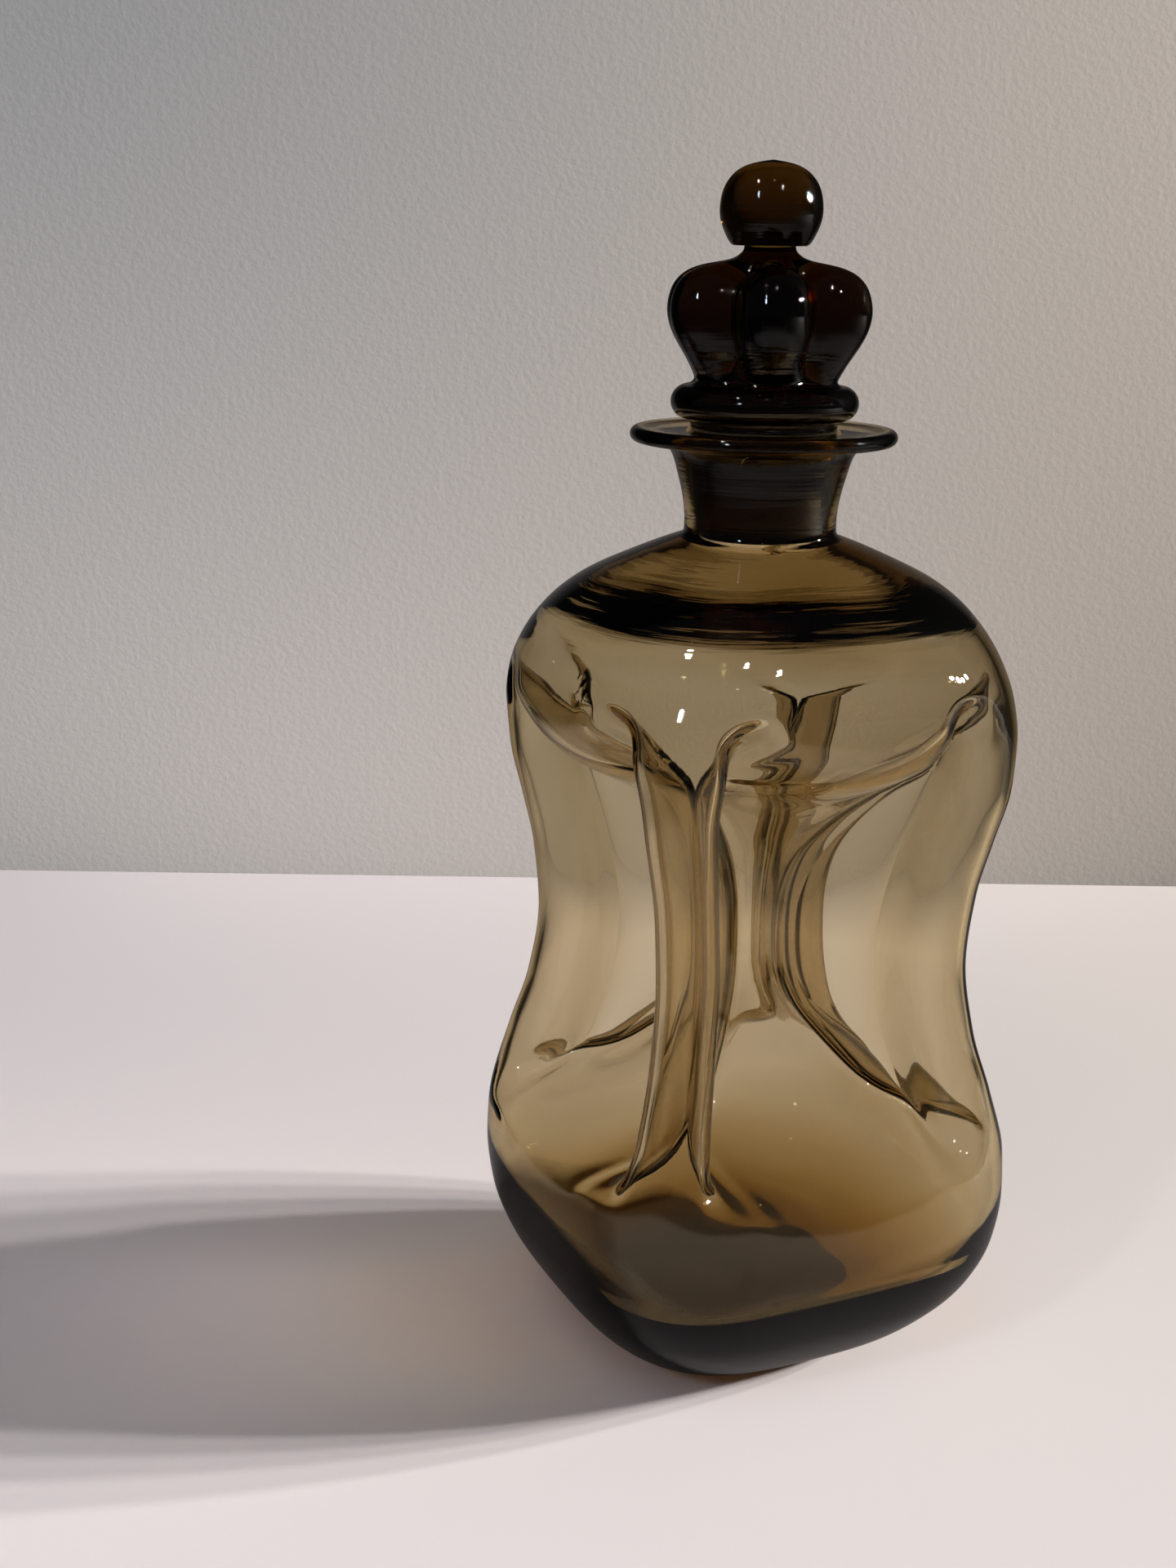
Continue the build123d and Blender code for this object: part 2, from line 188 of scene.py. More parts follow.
class Profile:
    """A size against height, read from a few points and rounded over a few millimetres."""

    def __init__(self, xs, ys, rounding):
        step = 0.25
        pad = 4 * rounding
        self.x = np.arange(xs[0] - pad, xs[-1] + pad + step, step)
        inside = np.clip(self.x, xs[0], xs[-1])
        y = monotone(xs, ys, inside)
        low = (ys[1] - ys[0]) / (xs[1] - xs[0])
        high = (ys[-1] - ys[-2]) / (xs[-1] - xs[-2])
        y += np.minimum(self.x - xs[0], 0) * low + np.maximum(self.x - xs[-1], 0) * high
        reach = int(pad / step)
        kernel = np.exp(-0.5 * (np.arange(-reach, reach + 1) * step / rounding) ** 2)
        padded = np.pad(y, reach, mode="edge")
        self.y = np.convolve(padded, kernel / kernel.sum(), mode="valid")

    def __call__(self, x):
        return np.interp(x, self.x, self.y)


def body_stations():
    heights, reaches = [0.0], [FOOT_REACH]
    legs = (
        (FOOT_TO_BULGE, BULGE_HEIGHT, BULGE_REACH),
        (BULGE_TO_WAIST, WAIST_HEIGHT, WAIST_REACH),
        (WAIST_TO_SHOULDER, SHOULDER_HEIGHT, SHOULDER_REACH),
        (SHOULDER_TO_NECK, NECK_ROOT_HEIGHT, NECK_RADIUS),
    )
    for shares, height, reach in legs:
        low, start = heights[-1], reaches[-1]
        for up, out in shares:
            heights.append(low + up * (height - low))
            reaches.append(start + out * (reach - start))
    return heights, reaches


def shares(table, rounding):
    xs = [WAIST_HEIGHT + PRESS_HALF_HEIGHT * a for a, b in table]
    return Profile(xs, [b for a, b in table], rounding)


REACH = Profile(*body_stations(), 1.3)
POWER = Profile(
    [0, 20, BULGE_HEIGHT, WAIST_HEIGHT, SHOULDER_HEIGHT, 187, 203, NECK_ROOT_HEIGHT],
    [3.0, 3.3, 3.6, 3.6, 3.3, 2.5, 2.05, 2.0],
    3.0,
)
OPENING = shares(PRESS_OPENING, 2.2)
REACH_GAIN = shares(TUBE_REACH_GAIN, 3.0)
WIDTH_GAIN = shares(TUBE_WIDTH_GAIN, 2.5)


def section(z):
    """Control points from a corner to the middle of a face, along and across the diagonal."""
    power = float(POWER(z))
    reach = float(REACH(z))
    half_side = reach / 2 ** (0.5 - 1 / power)
    away = math.pi / 4 - SECTION_ANGLES
    radius = half_side / (np.cos(away) ** power + np.sin(away) ** power) ** (1 / power)
    blown = np.stack([radius * np.cos(SECTION_ANGLES), radius * np.sin(SECTION_ANGLES)], 1)
    share = (z - WAIST_HEIGHT) / PRESS_HALF_HEIGHT
    if share > 0:
        full, end, web_end, parted = FULL_SHARES_ABOVE, PRESS_ENDS_ABOVE, WEB_END_ABOVE, PARTED_ABOVE
    else:
        full, end, web_end, parted = FULL_SHARES_BELOW, PRESS_ENDS_BELOW, WEB_END_BELOW, PARTED_BELOW
    fade = np.clip((abs(share) - full) / (end - full), 0, 1)
    press = (1 - fade**3 * (10 - 15 * fade + 6 * fade**2))[:, None]
    if press.max() <= 0:
        return blown
    throat = THROAT_RADIUS + (MOUTH_RADIUS - THROAT_RADIUS) * float(OPENING(z))
    tube = TUBE_INNER_REACH + float(REACH_GAIN(z))
    half_width = TUBE_HALF_WIDTH + float(WIDTH_GAIN(z))
    parting = min(max(abs(share) - web_end, 0.0) / (parted - web_end), 1.0)
    half_web = WEB_THICKNESS / 2 + MOUTH_SPREAD * parting**2
    depth = reach - tube
    web = max(tube - throat, 0.0)
    side = reach - 0.1 * depth
    turn = math.radians(23)
    pressed = np.array([
        ((6 * reach - 2 * side) / 4, 0.0),
        (side, 0.78 * half_width),
        (reach - 0.38 * depth, 1.14 * half_width),
        (reach - 0.72 * depth, 0.9 * half_width),
        (tube + 0.02 * depth, 1.3 * half_web),
        (tube - 0.25 * web - 0.8, half_web),
        (tube - 0.85 * web - 1.6, half_web),
        (1.02 * throat * math.cos(turn), 1.02 * throat * math.sin(turn)),
        (1.01 * throat / math.sqrt(2), 1.01 * throat / math.sqrt(2)),
    ])
    return blown + press * (pressed - blown)


def ring(z):
    """Outside of one eighth of the body, from past the corner to the face's middle, with its directions."""
    half = section(z)
    before = half[OVERLAP_SPANS + 1 : 0 : -1] * [1, -1]
    after = half[-2:-3:-1, ::-1]
    c = np.concatenate([before, half, after])
    t = np.arange(PER_SPAN) / PER_SPAN
    weights = np.stack([(1 - t) ** 3, 3 * t**3 - 6 * t**2 + 4, -3 * t**3 + 3 * t**2 + 3 * t + 1, t**3]) / 6
    slopes = np.stack([-((1 - t) ** 2), 3 * t**2 - 4 * t, -3 * t**2 + 2 * t + 1, t**2]) / 2
    points, along = [], []
    for i in range(1, len(c) - 2):
        four = c[i - 1 : i + 3]
        points.append(weights.T @ four)
        along.append(slopes.T @ four)
    last = c[-3:]
    points.append(np.array([(last[0] + 4 * last[1] + last[2]) / 6]))
    along.append(np.array([(last[2] - last[0]) / 2]))
    return np.concatenate(points), np.concatenate(along)


def smooth_most(a, b, rounding):
    return (a + b + np.sqrt((a - b) ** 2 + rounding**2)) / 2


def at_radius(points, radius):
    return points / np.linalg.norm(points, axis=1)[:, None] * np.asarray(radius)[..., None]


def peg_radius(z):
    return PEG_TOP_RADIUS - PEG_TAPER * (LIP_HEIGHT - z) / PEG_LENGTH


def curve(points, step):
    """Smooth curve through (radius, height) points, sampled evenly."""
    p = np.asarray(points, float)
    chord = np.concatenate([[0], np.cumsum(np.linalg.norm(np.diff(p, axis=0), axis=1) ** 0.6)])
    n = len(p)
    h = np.diff(chord)
    system = np.eye(n)
    right = np.zeros((n, 2))
    for i in range(1, n - 1):
        system[i, i - 1 : i + 2] = [h[i - 1], 2 * (h[i - 1] + h[i]), h[i]]
        right[i] = 6 * ((p[i + 1] - p[i]) / h[i] - (p[i] - p[i - 1]) / h[i - 1])
    bend = np.linalg.solve(system, right)
    fine = np.linspace(0, chord[-1], 60 * n)
    i = np.clip(np.searchsorted(chord, fine) - 1, 0, n - 2)
    a = ((chord[i + 1] - fine) / h[i])[:, None]
    b = 1 - a
    bends = (a**3 - a) * bend[i] + (b**3 - b) * bend[i + 1]
    q = a * p[i] + b * p[i + 1] + bends * (h[i] ** 2)[:, None] / 6
    length = np.concatenate([[0], np.cumsum(np.linalg.norm(np.diff(q, axis=0), axis=1))])
    count = max(2, int(round(length[-1] / step)) + 1)
    even = np.linspace(0, length[-1], count)
    return np.stack([np.interp(even, length, q[:, k]) for k in (0, 1)], 1)


def neck_profile():
    """Outside of the neck from its root up, over the lip and down to the top of the bore."""
    under = LIP_HEIGHT - LIP_THICKNESS
    edge = LIP_THICKNESS / 2
    rim = LIP_RADIUS - edge
    middle = LIP_HEIGHT - edge
    flare = curve([
        (NECK_RADIUS, NECK_ROOT_HEIGHT - 1), (NECK_RADIUS + 0.05, NECK_ROOT_HEIGHT + 3),
        (NECK_RADIUS + 0.8, NECK_ROOT_HEIGHT + 9), (NECK_RADIUS + 2.2, NECK_ROOT_HEIGHT + 14.5),
        (NECK_RADIUS + 3.7, under - 2.6), (NECK_RADIUS + 5.6, under - 0.7), (NECK_RADIUS + 8.6, under),
        (rim - 1.5, under - 0.05),
    ], 0.7)
    turn = np.radians(np.arange(8, 181, 8))
    round_edge = np.stack([rim + edge * np.sin(turn), middle - edge * np.cos(turn)], 1)
    mouth = peg_radius(LIP_HEIGHT) + PEG_CLEARANCE
    top = curve([
        (rim - 0.6, LIP_HEIGHT - 0.03), (rim - 4.5, LIP_HEIGHT - 0.45 * LIP_DISH),
        (mouth + 3.2, LIP_HEIGHT - LIP_DISH), (mouth + 0.9, LIP_HEIGHT - LIP_DISH - 0.25),
        (mouth + 0.15, LIP_HEIGHT - LIP_DISH - 1.1), (mouth - 0.2, LIP_HEIGHT - LIP_DISH - 2.6),
    ], 0.6)
    return np.concatenate([flare, round_edge, top])


def body_rows():
    """Rows of the eighth, up the outside from the foot's middle and down the inside to the floor's."""
    rows = []
    foot, _ = ring(0.0)
    for share in FOOT_SHARES:
        rows.append((foot * share, KICK * (1 - (share / FOOT_SHARES[-1]) ** 2) ** 2, 0))
    spans = [np.arange(low, high, step) for low, high, step in ROW_SPANS]
    low_rows = [np.array(FIRST_ROWS), np.arange(2.6, 44, 1.2)]
    profile = neck_profile()
    flare = profile[:20]
    for z in np.concatenate([*low_rows, *spans, np.arange(206, 215.6, 0.4)]):
        points, _ = ring(z)
        if z > ROUND_FROM:
            radius = np.linalg.norm(points, axis=1)
            neck = float(np.interp(z, flare[:, 1], flare[:, 0]))
            points = at_radius(points, smooth_most(radius, neck, OUTER_BLEND))
        rows.append((points, z, 0))
    round_points = at_radius(rows[-1][0], 1.0)
    for radius, z in profile[profile[:, 1] > RING_TOP]:
        rows.append((round_points * radius, z, 0))
    return rows + inner_rows(round_points)


def clamp(x):
    return min(max(x, 0.0), 1.0)


def ease(x):
    x = clamp(x)
    return x * x * (3 - 2 * x)


def thickness(z):
    """The glass is thick at the neck's root and towards the foot."""
    root = ROOT_EXTRA * ease((z - ROOT_FROM) / (ROOT_TO - ROOT_FROM))
    base = BASE_EXTRA * (1 - ease(z / BASE_TO))
    return WALL + root + base


def inner_points(z):
    """Points of the inside, square behind the outside's at a height, and their own heights."""
    wall = thickness(z)
    outer, along = ring(z)
    high = min(z + SLOPE_STEP, RING_TOP)
    low = max(z - SLOPE_STEP, 0.0)
    above, _ = ring(high)
    below, _ = ring(low)
    climb = (above - below) / (high - low)
    tilt = along[:, 0] * climb[:, 1] - along[:, 1] * climb[:, 0]
    normal = np.stack([along[:, 1], -along[:, 0], tilt], 1)
    normal *= wall / np.linalg.norm(normal, axis=1)[:, None]
    return outer - normal[:, :2], z - normal[:, 2]


def bowl_rows():
    """Rows of the inside's rounded bottom and of its floor."""
    rows = []
    for turn in np.radians(np.arange(4, 91, 6)):
        z = FLOOR_THICKNESS + (BOWL_TOP - FLOOR_THICKNESS) * (1 - math.sin(turn))
        points, _ = inner_points(z)
        radius = np.linalg.norm(points, axis=1) - BOWL_INSET * (1 - math.cos(turn))
        rows.append((at_radius(points, radius), z, 1))
    floor = rows[-1][0]
    for share in FLOOR_SHARES:
        rows.append((floor * share, FLOOR_THICKNESS + FLOOR_DOME * (1 - share**2) - 0.05, 1))
    return rows


def inner_rows(round_points):
    """Rows of the inside, from the top of the bore down."""
    rows = []
    top = LIP_HEIGHT - LIP_DISH - 3.2
    root = NECK_ROOT_HEIGHT + 1.5
    for z in np.arange(top, root, -1.0):
        rows.append((round_points * (peg_radius(z) + PEG_CLEARANCE), z, 1))
    spans = [np.arange(high, low, -step) for low, high, step in reversed(ROW_SPANS)]
    for z in np.concatenate([np.arange(root, 206, -0.4), *spans, np.arange(44, BOWL_TOP, -1.2)]):
        points, levels = inner_points(z)
        if z > ROUND_FROM:
            radius = np.linalg.norm(points, axis=1)
            bore = peg_radius(z) + PEG_CLEARANCE
            points = at_radius(points, smooth_most(radius - 0.4, bore, INNER_BLEND))
        rows.append((points, np.minimum(levels, rows[-1][1]), 1))
    return rows + bowl_rows()


def eighth():
    """One eighth of the bottle as a mesh, cut along the diagonal, where facing walls meet."""
    rows = body_rows()
    count = len(rows[0][0])
    coords = np.concatenate([np.column_stack([p, np.full(count, z)]) for p, z, inside in rows])
    flags = np.concatenate([np.full(count, inside) for p, z, inside in rows])
    bm = bmesh.new()
    layer = bm.verts.layers.float.new("inside")
    verts = []
    for co, flag in zip(coords, flags):
        v = bm.verts.new(co)
        v[layer] = float(flag)
        verts.append(v)
    for i in range(len(rows) - 1):
        low = i * count
        high = low + count
        for j in range(count - 1):
            bm.faces.new((verts[low + j], verts[low + j + 1], verts[high + j + 1], verts[high + j]))
    bmesh.ops.remove_doubles(bm, verts=bm.verts, dist=1e-5)
    bmesh.ops.bisect_plane(
        bm, geom=bm.verts[:] + bm.edges[:] + bm.faces[:], dist=1e-4,
        plane_co=(0, 0, 0), plane_no=(0, -1, 0), clear_outer=True,
    )
    for v in bm.verts:
        if abs(v.co.y) < 2e-4:
            v.co.y = 0.0
    mesh = bpy.data.meshes.new("eighth")
    bm.to_mesh(mesh)
    bm.free()
    return mesh


def uneven_root(bm):
    """The blower's thick glass under the neck isn't the same all round: its inside waves a little."""
    inside = bm.verts.layers.float["inside"]
    for v in bm.verts:
        mask = ease((v.co.z - ROOT_WAVE_FROM) / 8) * ease((ROOT_WAVE_TO - v.co.z) / 6)
        if v[inside] < 0.5 or mask <= 0:
            continue
        turn = math.atan2(v.co.y, v.co.x)
        wave = 0.0
        for size, number, phase in ROOT_WAVES:
            wave += size * math.sin(number * turn + phase)
        reach = math.hypot(v.co.x, v.co.y)
        shift = ROOT_WAVE_SIZE * wave * mask
        v.co.x += v.co.x / reach * shift
        v.co.y += v.co.y / reach * shift
        v.co.z += ROOT_WAVE_CLIMB * shift


def bottle_mesh():
    piece = eighth()
    bm = bmesh.new()
    for corner in range(4):
        for flip in (1, -1):
            part = bmesh.new()
            part.from_mesh(piece)
            spin = Matrix.Rotation(math.radians(45 + 90 * corner), 4, "Z")
            mirror = Matrix.Diagonal((1, flip, 1, 1))
            bmesh.ops.transform(part, matrix=spin @ mirror, verts=part.verts)
            if flip < 0:
                bmesh.ops.reverse_faces(part, faces=part.faces)
            temp = bpy.data.meshes.new("part")
            part.to_mesh(temp)
            part.free()
            bm.from_mesh(temp)
            bpy.data.meshes.remove(temp)
    bmesh.ops.remove_doubles(bm, verts=bm.verts, dist=3e-4)
    bmesh.ops.dissolve_degenerate(bm, edges=bm.edges, dist=1e-4)
    uneven_root(bm)
    bmesh.ops.recalc_face_normals(bm, faces=bm.faces)
    bmesh.ops.scale(bm, vec=(MM, MM, MM), verts=bm.verts)
    loose = [e for e in bm.edges if not e.is_manifold]
    print("bottle faces", len(bm.faces), "open edges", len(loose))
    mesh = bpy.data.meshes.new("bottle_glass")
    bm.to_mesh(mesh)
    bm.free()
    bpy.data.meshes.remove(piece)
    return mesh


def plain(points):
    """Rows of a stretch of the stopper that is round all the way."""
    return [(r, z, 0, 0) for r, z in points]


def peg_rows(end, peg_top, rim):
    """The peg from its end up, and the underside of the collar."""
    dome = curve([
        (0, end), (6, end + 0.15), (11, end + 0.9), (peg_radius(end) - 0.9, end + 2.2),
        (peg_radius(end + 3.6) - 0.02, end + 3.6),
    ], 0.6)
    peg = [(peg_radius(z), z) for z in np.arange(end + 4.4, LIP_HEIGHT, 1.0)]
    under = curve([
        (peg_radius(LIP_HEIGHT), LIP_HEIGHT), (peg_radius(LIP_HEIGHT) - 0.05, peg_top - 0.9),
        (rim - 0.6, peg_top + 0.05),
    ], 0.4)
    return plain(dome) + plain(peg) + plain(under)


def crown_rows(rim, collar_top, foot):
    """The crown, with the depth of its grooves and how far the top sinks in them."""
    out = CROWN_REACH - CROWN_FOOT_RADIUS
    outline = curve([
        (rim + 0.6, collar_top - 0.12),
        (CROWN_FOOT_RADIUS + 0.1, foot + 0.5),
        *[(CROWN_FOOT_RADIUS + share * out, foot + up * CROWN_HEIGHT) for share, up in CROWN_SIDE],
        *[(CROWN_REACH - share * out, foot + up * CROWN_HEIGHT) for share, up in CROWN_SHOULDER],
        *[(radius, foot + up * CROWN_HEIGHT) for radius, up in CROWN_TOP],
    ], 0.55)
    rows = []
    for r, z in outline:
        up = (z - foot) / CROWN_HEIGHT
        fall = clamp((r - TOP_INNER_RADIUS) / TOP_FADE) if up > TOP_FROM else 1.0
        deepening = GROOVE_LEAST + (1 - GROOVE_LEAST) * clamp(up / GROOVE_RISE) ** 0.8
        lobing = deepening * fall if up > -0.01 else 0.0
        rows.append((r, z, lobing, TOP_DROP * fall * clamp((up - DROP_FROM) / DROP_SPAN)))
    return rows


def knob_rows(foot):
    """The stem and the ball."""
    stem_top = foot + 1.09 * CROWN_HEIGHT
    ball_middle = TOP_HEIGHT - 11.3
    return plain(curve([
        (STEM_RADIUS, stem_top + 0.25), (STEM_RADIUS + 0.35, stem_top + 1.2), (8.3, ball_middle - 8.2),
        (10.7, ball_middle - 5.6), (12.05, ball_middle - 1.8), (BALL_RADIUS - 0.1, ball_middle + 1.6),
        (11.1, ball_middle + 5.4), (8.2, ball_middle + 8.9), (4.3, TOP_HEIGHT - 0.75), (0.0, TOP_HEIGHT),
    ], 0.55))


def stopper_rows():
    """(radius, height, lobing, drop) rows of the stopper from the peg's end to the ball's top."""
    peg_top = LIP_HEIGHT + COLLAR_GAP
    collar_top = peg_top + COLLAR_HEIGHT
    foot = collar_top + 0.4
    bulge = COLLAR_HEIGHT / 2
    rim = COLLAR_RADIUS - bulge
    rows = peg_rows(LIP_HEIGHT - PEG_LENGTH, peg_top, rim)
    for turn in np.radians(np.arange(8, 168, 7)):
        rows.append((rim + bulge * math.sin(turn), peg_top + bulge * (1 - math.cos(turn)), 0, 0))
    return rows + crown_rows(rim, collar_top, foot) + knob_rows(foot)


def stopper_mesh():
    rows = stopper_rows()
    count = STOPPER_SECTORS
    angles = np.arange(count) * 2 * math.pi / count
    wave = np.cos(CROWN_LOBES / 2 * (angles - math.radians(CROWN_TURN)))
    rounded = np.hypot(wave, GROOVE_ROUNDING) - GROOVE_ROUNDING
    bump = rounded / (math.hypot(1, GROOVE_ROUNDING) - GROOVE_ROUNDING)
    bm = bmesh.new()
    rings = []
    for r, z, lobing, drop in rows:
        if r < 1e-6:
            rings.append([bm.verts.new((0, 0, z * MM))])
            continue
        radius = r * (1 - GROOVE_SHARE * lobing * (1 - bump))
        height = z - drop * lobing * (1 - bump)
        rings.append([
            bm.verts.new((q * math.cos(a) * MM, q * math.sin(a) * MM, y * MM))
            for q, a, y in zip(radius, angles, height)
        ])
    for low, high in zip(rings, rings[1:]):
        if len(low) == 1:
            for j in range(count):
                bm.faces.new((low[0], high[(j + 1) % count], high[j]))
        elif len(high) == 1:
            for j in range(count):
                bm.faces.new((low[j], low[(j + 1) % count], high[0]))
        else:
            for j in range(count):
                bm.faces.new((low[j], low[(j + 1) % count], high[(j + 1) % count], high[j]))
    bmesh.ops.recalc_face_normals(bm, faces=bm.faces)
    print("stopper faces", len(bm.faces), "open edges", len([e for e in bm.edges if not e.is_manifold]))
    mesh = bpy.data.meshes.new("stopper_glass")
    bm.to_mesh(mesh)
    bm.free()
    return mesh


def node(tree, kind, **settings):
    n = tree.nodes.new(kind)
    for key, value in settings.items():
        if key in n.inputs:
            n.inputs[key].default_value = value
        else:
            setattr(n, key, value)
    return n


def new_material(name):
    mat = bpy.data.materials.new(name)
    mat.use_nodes = True
    tree = mat.node_tree
    tree.nodes.clear()
    out = node(tree, "ShaderNodeOutputMaterial")
    return mat, tree, out


def blend(tree, share, low, high):
    mix = node(tree, "ShaderNodeMix", data_type="RGBA")
    tree.links.new(share, mix.inputs[0])
    for socket, colour in ((mix.inputs[6], low), (mix.inputs[7], high)):
        if isinstance(colour, tuple):
            socket.default_value = (*colour, 1)
        else:
            tree.links.new(colour, socket)
    return mix.outputs[2]


def mixed(tree, share, first, second):
    """Two shaders mixed by a share."""
    mix = node(tree, "ShaderNodeMixShader")
    for socket, source in zip(mix.inputs, (share, first, second)):
        tree.links.new(source, socket)
    return mix.outputs[0]


def calculate(tree, operation, first, second):
    step = node(tree, "ShaderNodeMath", operation=operation)
    tree.links.new(first, step.inputs[0])
    tree.links.new(second, step.inputs[1])
    return step.outputs[0]


def ramp(tree, value, ends, levels=(0.0, 1.0), kind="LINEAR"):
    """From the first level to the second while the value goes from one end to the other."""
    spread = node(tree, "ShaderNodeMapRange", interpolation_type=kind)
    for name, number in zip(("From Min", "From Max", "To Min", "To Max"), (*ends, *levels)):
        spread.inputs[name].default_value = number
    tree.links.new(value, spread.inputs["Value"])
    return spread.outputs[0]


def noise(tree, place, **settings):
    texture = node(tree, "ShaderNodeTexNoise", **settings)
    tree.links.new(place, texture.inputs["Vector"])
    return texture.outputs["Fac"]


def raised(tree, height, distance):
    bump = node(tree, "ShaderNodeBump", Strength=1.0, Distance=distance)
    tree.links.new(height, bump.inputs["Height"])
    return bump


def streaks(tree, place):
    """Marks of the blower's tools round the shoulder, as a height for a bump."""
    stretch = node(tree, "ShaderNodeMapping", Scale=STREAK_SCALE)
    tree.links.new(place, stretch.inputs["Vector"])
    marks = noise(tree, stretch.outputs[0], Scale=1.0, Detail=2.0)
    apart = node(tree, "ShaderNodeSeparateXYZ")
    tree.links.new(place, apart.inputs[0])
    return calculate(tree, "MULTIPLY", marks, ramp(tree, apart.outputs["Z"], STREAKS_BEGIN))


def glass(name, tint, density, ripple, veil):
    """Clear tinted glass; its shadow lets a share of the light through."""
    mat, tree, out = new_material(name)
    shader = node(tree, "ShaderNodeBsdfPrincipled", Roughness=0.0, IOR=1.5)
    shader.inputs["Base Color"].default_value = (0.985, 0.98, 0.97, 1)
    shader.inputs["Transmission Weight"].default_value = 1.0
    light = node(tree, "ShaderNodeLightPath")
    edge = node(tree, "ShaderNodeLayerWeight", Blend=0.4)
    through = node(tree, "ShaderNodeBsdfTransparent")
    tree.links.new(blend(tree, edge.outputs["Facing"], *veil), through.inputs["Color"])
    surface = mixed(tree, light.outputs["Is Shadow Ray"], shader.outputs[0], through.outputs[0])
    tree.links.new(surface, out.inputs["Surface"])
    body = node(tree, "ShaderNodeVolumeAbsorption", Color=(*tint, 1), Density=density)
    tree.links.new(body.outputs[0], out.inputs["Volume"])
    place = node(tree, "ShaderNodeTexCoord").outputs["Object"]
    ripples = raised(tree, noise(tree, place, Scale=22.0, Detail=1.0), ripple)
    marks = raised(tree, streaks(tree, place), STREAK_DEPTH)
    tree.links.new(ripples.outputs[0], marks.inputs["Normal"])
    tree.links.new(marks.outputs[0], shader.inputs["Normal"])
    return mat


def add(name, mesh, material, smooth_angle=35):
    obj = bpy.data.objects.new(name, mesh)
    bpy.context.scene.collection.objects.link(obj)
    for p in mesh.polygons:
        p.use_smooth = True
    mesh.set_sharp_from_angle(angle=math.radians(smooth_angle))
    mesh.materials.append(material)
    return obj


STREAK_SCALE = (26, 26, 900)
STREAKS_BEGIN = (0.186, 0.196)
STREAK_DEPTH = 0.00012
SMOKE = (0.62, 0.46, 0.05)
SMOKE_DENSITY = 250.0
DARK = (0.62, 0.5, 0.08)
DARK_DENSITY = 345.0
SHADOW_VEIL = (0.55, 0.58, 0.74), (0.12, 0.14, 0.2)
smoke = glass("smoke_glass", SMOKE, SMOKE_DENSITY, 0.0002, SHADOW_VEIL)
dark = glass("dark_glass", DARK, DARK_DENSITY, 0.0001, SHADOW_VEIL)

bottle = add("bottle_blown", bottle_mesh(), smoke)
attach(bottle, "bottle")
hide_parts("body", "neck")
stopper = add("stopper_crown", stopper_mesh(), dark)
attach(stopper, "stopper")
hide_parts("stopper")

# Camera
CAMERA_AZIMUTH = math.radians(-29.5)
CAMERA_AWAY = 0.483
CAMERA_HEIGHT = 0.282
CAMERA_TURN = math.radians(4.91)
CAMERA_PITCH = math.radians(15.6)
CAMERA_ROLL = math.radians(0.8)
camera_data = bpy.data.cameras.new("camera")
camera_data.lens = 45.0
camera_data.clip_start = 0.01
camera = bpy.data.objects.new("camera", camera_data)
camera.location = (
    CAMERA_AWAY * math.sin(CAMERA_AZIMUTH),
    -CAMERA_AWAY * math.cos(CAMERA_AZIMUTH),
    CAMERA_HEIGHT,
)
HEADING = CAMERA_AZIMUTH + CAMERA_TURN
facing = Matrix.Rotation(HEADING, 3, "Z") @ Matrix.Rotation(math.pi / 2 - CAMERA_PITCH, 3, "X")
camera.rotation_euler = (facing @ Matrix.Rotation(CAMERA_ROLL, 3, "Z")).to_euler()
bpy.context.scene.collection.objects.link(camera)
bpy.context.scene.camera = camera

RIGHT = Vector((math.cos(HEADING), math.sin(HEADING), 0))
BACK = Vector((-math.sin(HEADING), math.cos(HEADING), 0))


def in_view(right, back, up):
    return RIGHT * right + BACK * back + Vector((0, 0, up))


def plane(name, corners, material):
    mesh = bpy.data.meshes.new(name)
    mesh.from_pydata([tuple(c) for c in corners], [], [(0, 1, 2, 3)])
    mesh.materials.append(material)
    obj = bpy.data.objects.new(name, mesh)
    bpy.context.scene.collection.objects.link(obj)
    return obj


# Painted shade on the paper: lighter at the front and on the left, darker towards the back and the right;
# each pair goes from left to right
FLOOR_FRONT_SHADE = (0.9, 0.84, 0.86), (0.75, 0.705, 0.69)
FLOOR_BACK_SHADE = (0.72, 0.675, 0.695), (0.67, 0.625, 0.6)
# Painted light and shade on the wall, each pair from its foot up: on the left darker towards the top, on the
# right lighter towards the top
WALL_LEFT_SHADE = (0.68, 0.635, 0.6), (0.43, 0.427, 0.425)
WALL_RIGHT_SHADE = (0.5, 0.445, 0.395), (0.72, 0.635, 0.555)
# Painted light: the wall glows a little in its own colour, though it is no lamp
WALL_PAINTED_GLOW = 0.28

# Painted shade seen by rays other than the camera's: where it fades, what is left, and a mirror's share
FLOOR_FADES = (0.3, 0.46)
WALL_FADES = (0.43, 0.54)
FADED_TO = 0.05
MIRRORED = 0.28


def along(tree, direction, *ends):
    """0 to 1 on the way from one end to the other in a direction."""
    place = node(tree, "ShaderNodeNewGeometry")
    dot = node(tree, "ShaderNodeVectorMath", operation="DOT_PRODUCT")
    dot.inputs[1].default_value = direction
    tree.links.new(place.outputs["Position"], dot.inputs[0])
    return ramp(tree, dot.outputs["Value"], ends, kind="SMOOTHSTEP")


